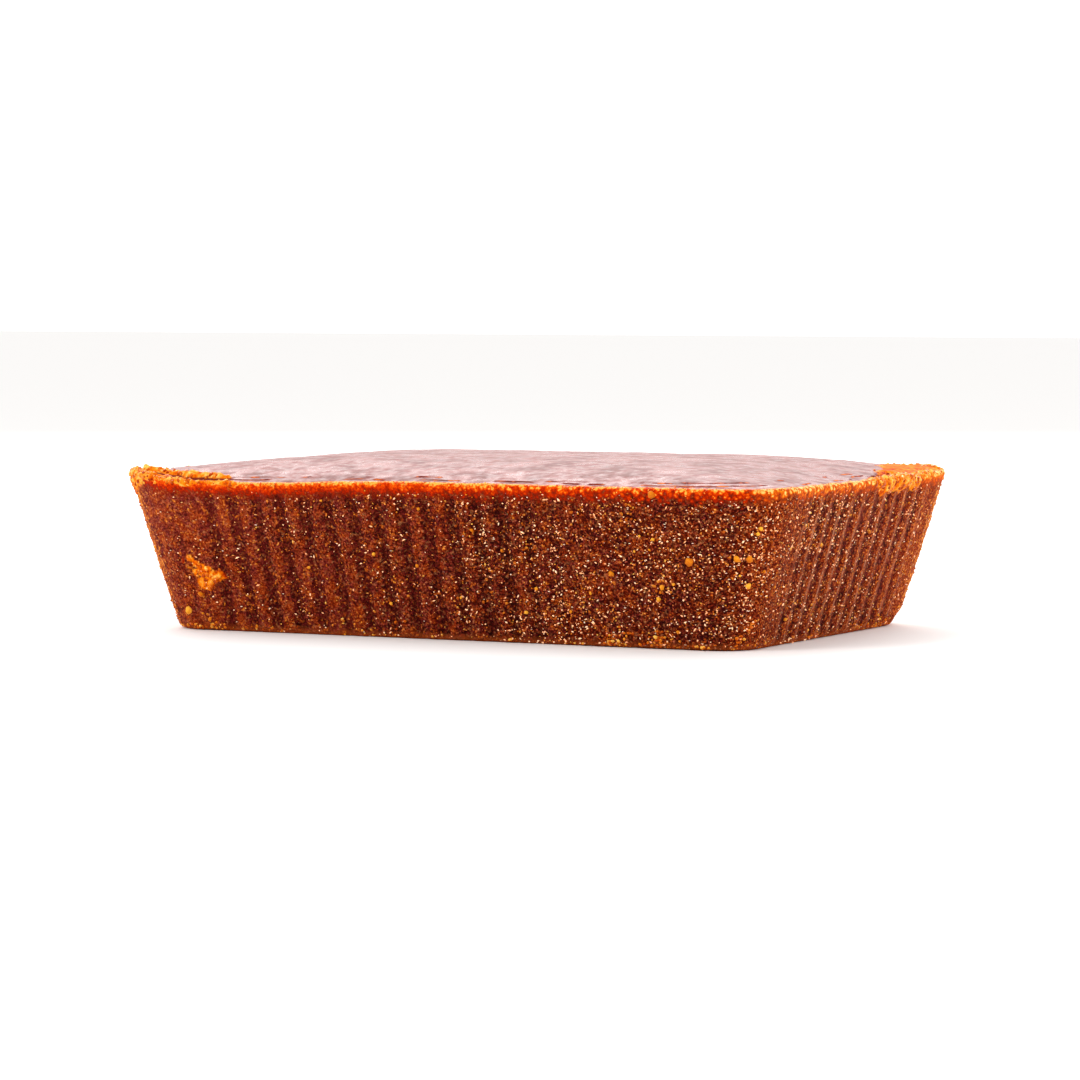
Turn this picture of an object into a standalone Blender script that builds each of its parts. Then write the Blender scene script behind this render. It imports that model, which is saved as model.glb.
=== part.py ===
"""A moulded block of jaggery: a drafted, round-cornered tray shape with fluted sides and a crowned, poured top.

Units are metres and +Z is up. The block rests on its flat base, with the origin at the middle of that base.
+X runs along its length. The base and the walls were formed by the mould, and the top is the free, poured surface.
"""

import math

import bmesh
import bpy

# The mould's cavity, read at the rim.
LENGTH = 0.140
WIDTH = 0.096
RIM_HEIGHT = 0.0297
RIM_CORNER = 0.0152
# How far each wall leans in between the rim and the base, and the corner radius that is left there.
DRAFT = 0.0091
BASE_CORNER = 0.0076

# The flutes of the mould's walls run up the slope of the straight sides and fade out towards the corners.
LONG_RIBS = 21
SHORT_RIBS = 13
RIB_DEPTH = 0.0005
FADE_RIBS = 1.5

# The rounded edges at the foot and at the rim.
BASE_EDGE = 0.0016
RIM_EDGE = 0.0009

# The poured top stands above the rim in the middle and is slightly uneven. It sags at one end of the front rim.
CROWN = 0.0036
CROWN_POWER = 3.5
SWELL = 0.00025
SWELL_LENGTH = 0.038
SAG = 0.0008
SAG_PLACE = (-0.040, -WIDTH / 2.0)
SAG_REACH = 0.034

# Two opposite corners of the rim carry a crust of stuck crumbs. Each is (side in X, side in Y, thickness, reach).
CRUMBLED_CORNERS = ((-1, -1, 0.0014, 0.016), (1, 1, 0.0009, 0.020))
LUMP = 0.0006
LUMP_LENGTH = 0.0052

# How finely the solid is faceted.
STEPS_PER_RIB = 4
STEPS_PER_CORNER = 8
STEPS_PER_EDGE = 3
CROWN_RINGS = (0.965, 0.88, 0.72, 0.45)

JAGGERY_BROWN = (0.165, 0.034, 0.013, 1.0)


def rib_relief(step, ribs):
    """Relief of the flutes at a step along a straight side: a cosine wave that fades out towards both corners."""
    rib = step / STEPS_PER_RIB
    fade = min(1.0, rib / FADE_RIBS, (ribs - rib) / FADE_RIBS)
    return fade * RIB_DEPTH * 0.5 * (1.0 - math.cos(2.0 * math.pi * rib))


def straight_side(start, end, outward, ribs, depth):
    """Points along one straight side, pressed in by the flutes, without the last point."""
    points = []
    steps = ribs * STEPS_PER_RIB
    for step in range(steps):
        share = step / steps
        relief = depth * rib_relief(step, ribs)
        x = start[0] + share * (end[0] - start[0]) - relief * outward[0]
        y = start[1] + share * (end[1] - start[1]) - relief * outward[1]
        points.append((x, y))
    return points


def corner_arc(centre, radius, start_angle):
    """Points along one quarter-round corner, without the last point."""
    points = []
    for step in range(STEPS_PER_CORNER):
        angle = start_angle + 0.5 * math.pi * step / STEPS_PER_CORNER
        points.append((centre[0] + radius * math.cos(angle), centre[1] + radius * math.sin(angle)))
    return points


def outline(level, inset, depth):
    """The block's outline, anticlockwise from the +X side: level runs from 0 at the base to 1 at the rim."""
    lean = DRAFT * (1.0 - level) + inset
    half_length = LENGTH / 2.0 - lean
    half_width = WIDTH / 2.0 - lean
    radius = BASE_CORNER + (RIM_CORNER - BASE_CORNER) * level - inset
    side_x = half_length - radius
    side_y = half_width - radius
    points = straight_side((half_length, -side_y), (half_length, side_y), (1, 0), SHORT_RIBS, depth)
    points += corner_arc((side_x, side_y), radius, 0.0)
    points += straight_side((side_x, half_width), (-side_x, half_width), (0, 1), LONG_RIBS, depth)
    points += corner_arc((-side_x, side_y), radius, 0.5 * math.pi)
    points += straight_side((-half_length, side_y), (-half_length, -side_y), (-1, 0), SHORT_RIBS, depth)
    points += corner_arc((-side_x, -side_y), radius, math.pi)
    points += straight_side((-side_x, -half_width), (side_x, -half_width), (0, -1), LONG_RIBS, depth)
    points += corner_arc((side_x, -side_y), radius, 1.5 * math.pi)
    return points


def swell(x, y):
    """The slow unevenness of the poured top."""
    along = math.sin(2.0 * math.pi * (x + 0.4 * y) / SWELL_LENGTH)
    across = math.sin(2.0 * math.pi * (y - 0.3 * x) / (1.3 * SWELL_LENGTH) + 1.0)
    return SWELL * along * across


def sag(x, y):
    """How far the front rim has sunk: a cosine dip round one place."""
    away = min(1.0, math.hypot(x - SAG_PLACE[0], y - SAG_PLACE[1]) / SAG_REACH)
    return SAG * 0.5 * (1.0 + math.cos(math.pi * away))


def crumb_crust(x, y):
    """Thickness of the lumpy crust of crumbs, which thins out away from its corner."""
    crust = 0.0
    for side_x, side_y, thickness, reach in CRUMBLED_CORNERS:
        away = math.hypot(x - side_x * LENGTH / 2.0, y - side_y * WIDTH / 2.0)
        share = max(0.0, 1.0 - away / reach)
        lumps = math.sin(2.0 * math.pi * x / LUMP_LENGTH) * math.cos(2.0 * math.pi * y / LUMP_LENGTH)
        crust += share * (thickness + LUMP * lumps)
    return crust


def top_height(x, y, ring):
    """Height of the poured top: ring runs from 0 in the middle to 1 at the rim."""
    crown = CROWN * (1.0 - ring**CROWN_POWER)
    return RIM_HEIGHT + crown + swell(x, y) * (1.0 - ring) - sag(x, y) + crumb_crust(x, y)


def foot_rings():
    """Rings round the rounded edge at the base, from the flat base up to the wall."""
    rings = []
    for step in range(STEPS_PER_EDGE + 1):
        angle = 0.5 * math.pi * step / STEPS_PER_EDGE
        height = BASE_EDGE * (1.0 - math.cos(angle))
        inset = BASE_EDGE * (1.0 - math.sin(angle))
        points = outline(height / RIM_HEIGHT, inset, math.sin(angle))
        rings.append([(x, y, height) for x, y in points])
    return rings


def rim_rings():
    """Rings round the rounded rim, from the top of the wall to the poured top."""
    rings = []
    for step in range(STEPS_PER_EDGE + 1):
        angle = 0.5 * math.pi * step / STEPS_PER_EDGE
        below = RIM_EDGE * (1.0 - math.sin(angle))
        inset = RIM_EDGE * (1.0 - math.cos(angle))
        points = outline(1.0 - below / RIM_HEIGHT, inset, math.cos(angle))
        rings.append([(x, y, top_height(x, y, 1.0) - below) for x, y in points])
    return rings


def crown_rings():
    """Rings of the poured top, each the rim's outline drawn in towards the middle."""
    rings = []
    for ring in CROWN_RINGS:
        points = outline(1.0, RIM_EDGE, 0.0)
        rings.append([(ring * x, ring * y, top_height(ring * x, ring * y, ring)) for x, y in points])
    return rings


def skin_rings(mesh, rings):
    """Joins the rings into a closed skin, with a fan of faces at the base and at the top."""
    loops = [[mesh.verts.new(point) for point in ring] for ring in rings]
    count = len(loops[0])
    for lower, upper in zip(loops, loops[1:]):
        for near in range(count):
            far = (near + 1) % count
            mesh.faces.new((lower[near], lower[far], upper[far], upper[near]))
    base_middle = mesh.verts.new((0.0, 0.0, 0.0))
    top_middle = mesh.verts.new((0.0, 0.0, top_height(0.0, 0.0, 0.0)))
    for near in range(count):
        far = (near + 1) % count
        mesh.faces.new((base_middle, loops[0][far], loops[0][near]))
        mesh.faces.new((top_middle, loops[-1][near], loops[-1][far]))


def jaggery_material():
    """Dark red-brown, slightly waxy sugar."""
    material = bpy.data.materials.new("jaggery")
    material.use_nodes = True
    shader = material.node_tree.nodes["Principled BSDF"]
    shader.inputs["Base Color"].default_value = JAGGERY_BROWN
    shader.inputs["Roughness"].default_value = 0.45
    shader.inputs["Metallic"].default_value = 0.0
    return material


def make_block():
    """The one solid piece."""
    mesh = bmesh.new()
    skin_rings(mesh, foot_rings() + rim_rings() + crown_rings())
    bmesh.ops.recalc_face_normals(mesh, faces=mesh.faces)
    data = bpy.data.meshes.new("jaggery_block")
    mesh.to_mesh(data)
    mesh.free()
    data.shade_smooth()
    data.set_sharp_from_angle(angle=math.radians(40.0))
    data.materials.append(jaggery_material())
    block = bpy.data.objects.new("jaggery_block", data)
    bpy.context.scene.collection.objects.link(block)


for old in list(bpy.data.objects):
    bpy.data.objects.remove(old, do_unlink=True)
make_block()
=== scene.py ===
"""Looks of a moulded jaggery block: the grainy, translucent sugar, its crumbled corners, its crystals and its poured skin.

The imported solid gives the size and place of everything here. Lengths are in metres, and MM turns millimetres to metres.
"""

import itertools
import math

import bpy
import numpy as np
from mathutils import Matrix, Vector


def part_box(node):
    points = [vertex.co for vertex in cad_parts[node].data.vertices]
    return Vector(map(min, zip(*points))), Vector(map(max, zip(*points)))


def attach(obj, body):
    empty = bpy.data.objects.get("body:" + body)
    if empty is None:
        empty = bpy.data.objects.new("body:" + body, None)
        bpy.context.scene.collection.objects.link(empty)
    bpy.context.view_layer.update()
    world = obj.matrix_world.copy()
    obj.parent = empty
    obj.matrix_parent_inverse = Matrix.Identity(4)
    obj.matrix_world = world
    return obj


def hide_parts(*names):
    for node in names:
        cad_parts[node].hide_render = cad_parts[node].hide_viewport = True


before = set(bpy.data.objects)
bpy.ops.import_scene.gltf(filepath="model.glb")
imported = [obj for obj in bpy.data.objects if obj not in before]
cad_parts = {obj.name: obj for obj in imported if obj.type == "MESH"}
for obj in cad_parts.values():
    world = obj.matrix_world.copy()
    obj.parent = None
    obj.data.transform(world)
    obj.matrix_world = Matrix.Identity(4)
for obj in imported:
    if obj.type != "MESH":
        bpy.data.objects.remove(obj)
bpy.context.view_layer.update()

MM = 0.001

# The block's own box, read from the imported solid.
LOW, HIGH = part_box("jaggery_block")
HALF_LENGTH = (HIGH[0] - LOW[0]) / 2.0
HALF_WIDTH = (HIGH[1] - LOW[1]) / 2.0
TOP_HEIGHT = HIGH[2] - LOW[2]

# The mould: how the walls lean, how round the corners are, and the flutes of the straight sides.
CROWN = 3.6 * MM
RIM_HEIGHT = TOP_HEIGHT - CROWN
DRAFT = 8.8 * MM
RIM_CORNER = 14.9 * MM
BASE_CORNER = 7.6 * MM
LONG_RIBS = 21
SHORT_RIBS = 13
RIB_DEPTH = 0.5 * MM
FADE_RIBS = 1.5
RIM_EDGE = 0.8 * MM
FOOT_EDGE = 1.4 * MM
WORN_FOOT_EDGE = 4.2 * MM
CROWN_POWER = 3.5

# The two rim corners that stand proud under a crust of stuck crumbs: side in X, side in Y, rise, reach.
PROUD_CORNERS = ((-1, -1, 1.0 * MM, 15.0 * MM), (1, 1, 0.6 * MM, 19.0 * MM))

# Lines along the rim that carry crumbs: points in millimetres, and how far the crumbs reach from the line.
CRUMB_LINES = (
    (((-69.2, -16.0, 29.8), (-69.4, -34.0, 29.4)), 1.3),
    (((-68.6, -37.0, 27.6), (-66.4, -41.5, 28.4), (-63.5, -44.6, 28.6)), 3.0),
    (((-62.0, -46.0, 29.4), (-50.0, -47.4, 29.2), (-41.0, -47.6, 29.2)), 1.25),
    (((69.5, 2.0, 29.8), (69.2, 9.0, 28.4), (69.3, 22.0, 29.4)), 2.1),
    (((68.8, 24.0, 30.4), (67.8, 36.0, 30.6), (64.0, 42.0, 30.6)), 1.8),
    (((62.0, 44.5, 29.6), (50.0, 47.2, 29.6)), 1.6),
)

# A ridge of crumbs on the top, just inside the front rim, seen in plan.
RIDGE = (((-62.0, -43.6, 0.0), (-52.0, -44.6, 0.0), (-43.0, -45.0, 0.0)), 1.1)

# A gap on the top, just inside the crumbs of the right rim, seen in plan.
GAP = (((68.0, 4.0, 0.0), (66.8, 12.0, 0.0), (65.4, 19.0, 0.0)), 0.9)

# The top has lost its skin on one side of this line across the far corner: a point of it, and the way towards the bare
# side, seen in plan.
BARE_FROM = (69.4, -1.0, 0.0)
BARE_WAY = (0.952, 0.306, 0.0)

# A patch of bare amber crumbs on the front wall.
PATCH = (((-52.6, -42.6, 13.4), (-50.8, -42.2, 11.9), (-48.6, -42.0, 11.4), (-50.2, -42.0, 9.6)), 1.45)

# How strong the painted glow of light coming through each upright corner is, and how far round the corner (0 to 1)
# it is strongest, in the order of the walk: +X +Y, -X +Y, -X -Y, +X -Y.
CORNER_GLOW = ((0.9, 0.3), (0.5, 0.5), (1.0, 0.3), (0.0, 0.5))

# How finely the skin is divided.
COLUMNS = 960
WALL_ROWS = 50
EDGE_ROWS = 5
BASE_RINGS = (0.0, 0.5, 0.8, 0.94)
TOP_RINGS = 38

CAMERA_TURN = math.radians(27.1)
CAMERA_DISTANCE = 856.0 * MM
CAMERA_RISE = 67.2 * MM
CAMERA_LENS = 147.5


# ---------------------------------------------------------------- noise


def lattice_noise(places, grain, seed):
    """Random numbers on a cubic lattice one grain apart, blended by a smooth step between its points: -1 to 1."""
    table = np.random.default_rng(seed).uniform(-1.0, 1.0, (64, 64, 64))
    scaled = places / grain
    cell = np.floor(scaled).astype(int)
    share = scaled - cell
    share = share * share * (3.0 - 2.0 * share)
    total = np.zeros(places.shape[:-1])
    for corner in itertools.product((0, 1), repeat=3):
        weight = np.prod(np.where(corner, share, 1.0 - share), axis=-1)
        index = (cell + corner) % 64
        total += weight * table[index[..., 0], index[..., 1], index[..., 2]]
    return total


def layered_noise(places, grain, layers, seed):
    """Lattice noise added in layers, each half as large and half as strong as the last."""
    total = np.zeros(places.shape[:-1])
    for layer in range(layers):
        total += lattice_noise(places, grain / 2.0**layer, seed + layer) / 2.0**layer
    return total


def cell_lumps(places, size, seed):
    """Rounded lumps, one at a random point of each cubic cell: 1 at a lump's middle, falling to 0 between lumps.
    The height is 1 less the squared distance to the nearest lump, counted in cells."""
    table = np.random.default_rng(seed).uniform(0.0, 1.0, (32, 32, 32, 3))
    scaled = places / size
    cell = np.floor(scaled).astype(int)
    nearest = np.full(places.shape[:-1], 9.0)
    for step in itertools.product((-1, 0, 1), repeat=3):
        index = (cell + step) % 32
        middle = cell + step + table[index[..., 0], index[..., 1], index[..., 2]]
        nearest = np.minimum(nearest, np.sum((scaled - middle) ** 2, axis=-1))
    return np.clip(1.0 - nearest, 0.0, 1.0)


def smooth_step(low, high, values):
    """0 below low, 1 above high, and a smooth cubic between them."""
    share = np.clip((values - low) / (high - low), 0.0, 1.0)
    return share * share * (3.0 - 2.0 * share)


# ---------------------------------------------------------------- the block's skin


def walk_round():
    """The walk round the outline, anticlockwise from the +X side: straight, corner, straight, corner and so on.
    Each column has its place on the inner rectangle (-1 to 1), the angle it faces, its place along the flutes
    counted in ribs, how strong the flutes are there, how strong the painted glow through the corner is there, and the
    length walked."""
    long_side = 2.0 * (HALF_LENGTH - RIM_CORNER)
    short_side = 2.0 * (HALF_WIDTH - RIM_CORNER)
    arc = 0.5 * math.pi * 0.5 * (RIM_CORNER + BASE_CORNER)
    knots = np.cumsum([0.0, short_side, arc, long_side, arc, short_side, arc, long_side, arc])
    walked = np.arange(COLUMNS + 1) / COLUMNS * knots[-1]
    side_x = np.interp(walked, knots, [1, 1, 1, -1, -1, -1, -1, 1, 1])
    side_y = np.interp(walked, knots, [-1, 1, 1, 1, 1, -1, -1, -1, -1])
    facing = np.interp(walked, knots, np.array([0, 0, 1, 1, 2, 2, 3, 3, 4]) * 0.5 * math.pi)
    rib_knots = np.cumsum([0, SHORT_RIBS, 0, LONG_RIBS, 0, SHORT_RIBS, 0, LONG_RIBS, 0])
    rib = np.interp(walked, knots, rib_knots)
    strength = np.zeros(COLUMNS + 1)
    corner = np.zeros(COLUMNS + 1)
    sides = zip(range(0, 8, 2), (SHORT_RIBS, LONG_RIBS, SHORT_RIBS, LONG_RIBS), CORNER_GLOW)
    for start, ribs, (glow, place) in sides:
        from_start = (walked - knots[start]) / (knots[start + 1] - knots[start]) * ribs
        inside = np.minimum(from_start, ribs - from_start) / FADE_RIBS
        strength = np.maximum(strength, np.clip(inside, 0.0, 1.0))
        away = np.abs((walked - knots[start + 1]) / arc - place)
        corner = np.maximum(corner, glow * (1.0 - smooth_step(0.08, 0.38, away)))
    return side_x, side_y, facing, rib, strength, corner, walked, knots


SIDE_X, SIDE_Y, FACING, RIB, RIB_STRENGTH, CORNER, WALKED, KNOTS = walk_round()


def row_plan():
    """The rows of the skin, from the middle of the base, round the foot, up the wall, over the rim, to the middle of
    the top. Each row has: how far it is drawn in towards the middle (1 is not at all), its place round the foot's
    edge (0 to 1), up the wall (0 to 1), round the rim's edge (0 to 1) and in over the top (0 to 1)."""
    rows = []
    for ring in BASE_RINGS:
        rows.append((ring, 0.0, 0.0, 0.0, 0.0))
    for step in range(EDGE_ROWS + 1):
        rows.append((1.0, step / EDGE_ROWS, 0.0, 0.0, 0.0))
    for step in range(1, WALL_ROWS + 1):
        rows.append((1.0, 1.0, step / WALL_ROWS, 0.0, 0.0))
    for step in range(1, EDGE_ROWS + 1):
        rows.append((1.0, 1.0, 1.0, step / EDGE_ROWS, 0.0))
    for step in range(1, TOP_RINGS + 1):
        share = step / TOP_RINGS
        drawn = 0.13 * share + 0.87 * share**3
        rows.append((1.0 - drawn, 1.0, 1.0, 1.0, drawn))
    return np.array(rows)[:, :, None].transpose(1, 0, 2)


def sag(x, y):
    """The front rim has sunk a little towards one end: a cosine dip round one place."""
    away = np.hypot(x + 40.0 * MM, y + HALF_WIDTH) / (34.0 * MM)
    return 0.8 * MM * 0.5 * (1.0 + np.cos(math.pi * np.clip(away, 0.0, 1.0)))


def line_distance(places, line):
    """Distance from each place to the nearest point of a line of straight pieces, given in millimetres."""
    nearest = np.full(places.shape[:-1], 1.0)
    for start, end in zip(line[:-1], line[1:]):
        first = np.array(start) * MM
        along = np.array(end) * MM - first
        share = np.clip((places - first) @ along / (along @ along), 0.0, 1.0)
        nearest = np.minimum(nearest, np.linalg.norm(places - first - share[..., None] * along, axis=-1))
    return nearest


def near_line(places, line, reach, wander, seed):
    """1 on a line and 0 beyond its reach in millimetres, with a ragged edge that wanders by this share of the reach."""
    ragged = wander * reach * layered_noise(places, 3.0 * MM, 2, seed)
    away = line_distance(places, line) / MM + ragged
    return 1.0 - smooth_step(0.45 * reach, reach, away)


def block_surface():
    """Places of the skin's grid, row by column, before its fine relief, with the masks that the looks read.
    A point is the inner rectangle's point plus a corner radius along the angle that the column faces."""
    shrink, foot, wall, rim, top = row_plan()
    wear_and_highlight = (SIDE_X > 0.99) * (SIDE_Y > 0.99) * smooth_step(0.0, 0.3, CORNER)
    foot_edge = FOOT_EDGE + (WORN_FOOT_EDGE - FOOT_EDGE) * wear_and_highlight
    foot_turn = foot * 0.5 * math.pi
    rim_turn = rim * 0.5 * math.pi
    rim_x = (HALF_LENGTH - RIM_CORNER) * SIDE_X + RIM_CORNER * np.cos(FACING)
    rim_y = (HALF_WIDTH - RIM_CORNER) * SIDE_Y + RIM_CORNER * np.sin(FACING)
    rim_height = RIM_HEIGHT - sag(rim_x, rim_y)
    from_foot = foot_edge * (1.0 - np.cos(foot_turn))
    wall_length = rim_height - RIM_EDGE - foot_edge
    z = from_foot + wall * wall_length + RIM_EDGE * np.sin(rim_turn)
    inset = foot_edge * (1.0 - np.sin(foot_turn)) + RIM_EDGE * (1.0 - np.cos(rim_turn))
    level = np.clip(z / (RIM_HEIGHT - RIM_EDGE), 0.0, 1.0)
    lean = DRAFT * (1.0 - level)
    radius = BASE_CORNER + (RIM_CORNER - BASE_CORNER) * level
    inner_x = HALF_LENGTH - lean - radius
    inner_y = HALF_WIDTH - lean - radius
    fluted = RIB_STRENGTH * (1.0 - 0.8 * smooth_step(12.0 * MM, 40.0 * MM, rim_x) * (rim_y < -0.9 * HALF_WIDTH))
    groove = 0.5 * (1.0 - np.cos(2.0 * math.pi * RIB)) * fluted
    shown = foot * (1.0 - 0.75 * smooth_step(0.93, 1.0, wall)) * (1.0 - rim)
    reach = radius - inset - RIB_DEPTH * groove * shown
    x = shrink * (inner_x * SIDE_X + reach * np.cos(FACING))
    y = shrink * (inner_y * SIDE_Y + reach * np.sin(FACING))
    places = np.stack([x, y, np.broadcast_to(z, x.shape)], axis=-1)
    crown = CROWN * (1.0 - shrink**CROWN_POWER) * (rim > 0.99)
    swell = 0.10 * MM * lattice_noise(places, 17.0 * MM, 11) + 0.09 * MM * layered_noise(places, 7.0 * MM, 3, 12)
    swell = swell * (0.6 + 0.4 * smooth_step(-40.0 * MM, 10.0 * MM, places[..., 0]))
    places[..., 2] += crown - sag(x, y) * (top > 0.0) + sag(rim_x, rim_y) * (top > 0.0)
    places[..., 2] += swell * smooth_step(0.0, 0.12, top)
    masks = {
        "below_rim": np.broadcast_to(np.clip(rim_height - z, 0.0, 1.0) / MM, x.shape),
        "inside_rim": np.broadcast_to(top, x.shape) * 48.0,
        "groove": groove * shown,
        # corner: where the material paints the glow of light coming through the upright corners, and where more lumps
        # sit
        "corner": np.broadcast_to(CORNER, x.shape),
        "above_foot": np.broadcast_to(z / MM, x.shape),
        # lit_side: the +X side, which the material paints lighter and more orange as lit, and which gets fewer crystals
        "lit_side": np.broadcast_to(smooth_step(0.55, 0.95, np.cos(FACING)), x.shape),
        # crest: the crests of the flutes, which carry painted highlights on the lit side
        "crest": (0.5 + 0.5 * np.cos(2.0 * math.pi * RIB)) ** 40 * fluted * shown,
    }
    return places, masks


def sandiness(places):
    """How sandy the sugar is: finely packed at the -X end, sandier towards the +X end, most of all at the front."""
    along = smooth_step(-0.75, 0.95, places[..., 0] / HALF_LENGTH)
    back = smooth_step(-0.8, 0.8, places[..., 1] / HALF_WIDTH)
    clouds = 0.16 * layered_noise(places, 11.0 * MM, 2, 91)
    return np.clip(0.12 + (0.88 - 0.5 * back) * along + clouds, 0.0, 1.0)


def grid_normals(places):
    """Outward unit normals of the grid: the cross product of the steps along and across it, pole rows aside."""
    along = np.roll(places[:, :-1], -1, axis=1) - np.roll(places[:, :-1], 1, axis=1)
    across = np.gradient(places[:, :-1], axis=0)
    normal = np.cross(along, across)
    normal = np.concatenate([normal, normal[:, :1]], axis=1)
    length = np.linalg.norm(normal, axis=-1, keepdims=True)
    flat = np.where(places[..., 2:] > RIM_HEIGHT / 2.0, [0.0, 0.0, 1.0], [0.0, 0.0, -1.0])
    return np.where(length > 1e-12, normal / np.maximum(length, 1e-12), flat)


def fine_relief(places, masks, normals):
    """Moves the skin along its normals: cast grain on the walls, pits, broken cracks inside the rim, crumb crust."""
    shrink, foot, wall, rim, top = row_plan()
    shape = masks["groove"].shape
    on_wall = np.broadcast_to(foot * (1.0 - 0.4 * rim) * (1.0 - smooth_step(0.0, 0.05, top)), shape)
    on_top = np.broadcast_to(smooth_step(0.0, 0.01, top), shape)
    grain = 0.06 * MM * layered_noise(places, 2.4 * MM, 3, 21)
    waver = 0.10 * MM * lattice_noise(places, 6.0 * MM, 31)
    lumps = 0.11 * MM * (cell_lumps(places, 1.5 * MM, 41) - 0.5)
    edge = np.exp(-masks["above_foot"] / 1.4) + 0.8 * np.exp(-masks["below_rim"] / 0.9)
    ragged = edge * (0.20 * MM * lattice_noise(places, 1.9 * MM, 51) + 0.12 * MM * lattice_noise(places, 1.0 * MM, 52))
    height = on_wall * (grain + waver + lumps + ragged)
    crust = np.zeros(shape)
    for line, reach in CRUMB_LINES:
        crust = np.maximum(crust, near_line(places, line, reach, 0.45, 55))
    patch = near_line(places, *PATCH, 1.3, 56) * smooth_step(-0.5, -0.2, lattice_noise(places, 1.1 * MM, 63))
    plan = places * (1.0, 1.0, 0.0)
    past = (plan / MM - BARE_FROM) @ BARE_WAY + 1.6 * layered_noise(plan, 6.0 * MM, 3, 59)
    bare = smooth_step(-0.4, 0.4, past) * on_top
    ridge = near_line(plan, *RIDGE, 0.5, 57) * on_top
    gap = near_line(plan, *GAP, 0.5, 58) * on_top
    crumbs = 1.2 * cell_lumps(places, 1.6 * MM, 61) ** 1.5 + 0.6 * cell_lumps(places, 0.9 * MM, 62)
    height = height + np.maximum(crust, 0.75 * np.maximum(patch, 0.5 * bare)) * (0.45 * MM * crumbs - 0.22 * MM)
    height = height + ridge * (0.25 * MM + 0.5 * MM * crumbs) - gap * 0.9 * MM
    lip = np.zeros(shape)
    face = np.zeros(shape)
    for inside, seed in ((1.5, 71), (3.0, 75)):
        line = masks["inside_rim"] - inside - 0.8 * layered_noise(places, 8.0 * MM, 2, seed)
        broken = smooth_step(-0.1, 0.2, layered_noise(places, 5.0 * MM, 2, seed + 2)) * on_top * (1.0 - crust) * (1.0 - bare)
        lip = lip + broken * smooth_step(-0.12, 0.12, line) * np.exp(-np.maximum(line, 0.0) / 1.5)
        face = np.maximum(face, broken * np.exp(-((line / 0.13) ** 2)))
    height = height + 0.16 * MM * lip
    height = height + on_top * (1.0 - crust) * 0.04 * MM * layered_noise(places, 3.2 * MM, 3, 81)
    rise = np.zeros(shape)
    for side_x, side_y, thickness, reach in PROUD_CORNERS:
        away = np.hypot(places[..., 0] - side_x * HALF_LENGTH, places[..., 1] - side_y * HALF_WIDTH)
        rise = np.maximum(rise, thickness * (1.0 - smooth_step(0.4 * reach, reach, away)))
    moved = places + normals * (height * (foot > 0.0))[..., None]
    moved[..., 2] += rise * smooth_step(0.6, 1.0, wall)
    moved[..., 2] = np.maximum(moved[..., 2], 0.0)
    masks["crumbly"] = np.clip(crust + patch + ridge + bare - 2.0 * gap, 0.0, 1.0)
    masks["bare"] = bare * (1.0 - crust)
    # crumb_top: the height of the crumb lumps, which the material paints lighter on top and darker between, as light
    # and shade
    masks["crumb_top"] = np.clip(crumbs / 1.5, 0.0, 1.0)
    masks["sandy"] = sandiness(places)
    masks["crack"] = np.clip(face + gap, 0.0, 1.0)
    return moved


def close_poles(places):
    """The first and last rows are single points: each takes the mean of its row."""
    places[0] = places[0].mean(axis=0)
    places[-1] = places[-1].mean(axis=0)
    return places


# ---------------------------------------------------------------- meshes


def mesh_object(name, points, corners, sizes, material):
    """A smooth mesh object made from flat arrays: points, the corners of all faces in turn, and each face's size."""
    mesh = bpy.data.meshes.new(name)
    mesh.vertices.add(len(points))
    mesh.vertices.foreach_set("co", np.ascontiguousarray(points, dtype=np.float32).ravel())
    mesh.loops.add(len(corners))
    mesh.loops.foreach_set("vertex_index", np.ascontiguousarray(corners, dtype=np.int32))
    mesh.polygons.add(len(sizes))
    mesh.polygons.foreach_set("loop_start", (np.cumsum(sizes) - sizes).astype(np.int32))
    mesh.update(calc_edges=True)
    mesh.shade_smooth()
    mesh.materials.append(material)
    made = bpy.data.objects.new(name, mesh)
    bpy.context.scene.collection.objects.link(made)
    return made


def add_mask(made, name, values):
    """Gives each point of a mesh one number, which its material reads by this name."""
    layer = made.data.attributes.new(name, "FLOAT", "POINT")
    layer.data.foreach_set("value", np.ascontiguousarray(values, dtype=np.float32).ravel())


def block_faces(rows):
    """Quads between neighbouring rows and columns, with a fan of triangles at each pole.
    Returns the corner indices of the quads and of the triangles. Each pole is one point."""
    ring = np.arange(COLUMNS)
    after = (ring + 1) % COLUMNS
    first = 1 + np.arange(rows - 3)[:, None] * COLUMNS
    quads = np.stack([first + ring, first + after, first + COLUMNS + after, first + COLUMNS + ring], axis=-1)
    last = 1 + (rows - 3) * COLUMNS
    top_pole = 1 + (rows - 2) * COLUMNS
    low_fan = np.stack([np.zeros(COLUMNS, int), 1 + after, 1 + ring], axis=-1)
    high_fan = np.stack([np.full(COLUMNS, top_pole), last + ring, last + after], axis=-1)
    return quads, low_fan, high_fan


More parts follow.
